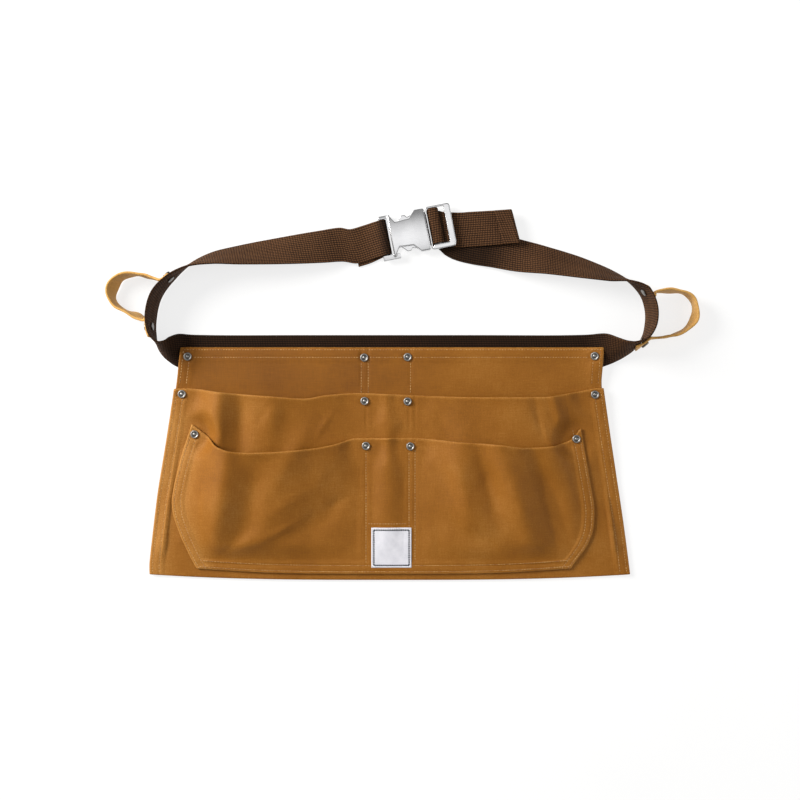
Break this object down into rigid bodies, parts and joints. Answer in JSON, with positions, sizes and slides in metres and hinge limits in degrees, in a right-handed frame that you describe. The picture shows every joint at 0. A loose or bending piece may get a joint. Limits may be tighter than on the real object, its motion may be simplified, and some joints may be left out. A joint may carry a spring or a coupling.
{
  "type": "carpenter nail apron",
  "caption": "Canvas nail apron with upper and lower pockets and centre slots, riveted corners, webbing waist belt with metal side release buckle and a hammer loop on each side.",
  "frame": {"origin": "on the back face of the apron, in the middle of the stretch of it that lies flat on the table", "axes": "+X across the apron, +Y from the bottom hem towards the belt, +Z out of the apron's front"},
  "size_m": [0.6371, 0.4074, 0.0391],
  "materials": {
    "duck_canvas": "tan brown heavy cotton duck",
    "webbing": "dark brown woven webbing",
    "buckle_metal": "polished cast metal",
    "rivet_metal": "dull pewter grey",
    "label_cloth": "pale woven patch"
  },
  "bodies": {
    "root": {"back_panel": "duck_canvas", "upper_pocket_panel": "duck_canvas", "lower_pocket_panel": "duck_canvas", "label_patch": "label_cloth", "waist_belt": "webbing", "buckle_socket": "buckle_metal", "buckle_clip": "buckle_metal", "hammer_loop_left": "duck_canvas", "hammer_loop_right": "duck_canvas", "rivet_top_left": "rivet_metal", "rivet_top_seam_left": "rivet_metal", "rivet_top_seam_right": "rivet_metal", "rivet_top_right": "rivet_metal", "rivet_upper_left": "rivet_metal", "rivet_upper_seam_left": "rivet_metal", "rivet_upper_seam_right": "rivet_metal", "rivet_upper_right": "rivet_metal", "rivet_lower_left": "rivet_metal", "rivet_lower_seam_left": "rivet_metal", "rivet_lower_seam_right": "rivet_metal", "rivet_lower_right": "rivet_metal", "rivet_hammer_loop_left_back": "rivet_metal", "rivet_hammer_loop_left_front": "rivet_metal", "rivet_hammer_loop_right_back": "rivet_metal", "rivet_hammer_loop_right_front": "rivet_metal"}
  },
  "joints": []
}
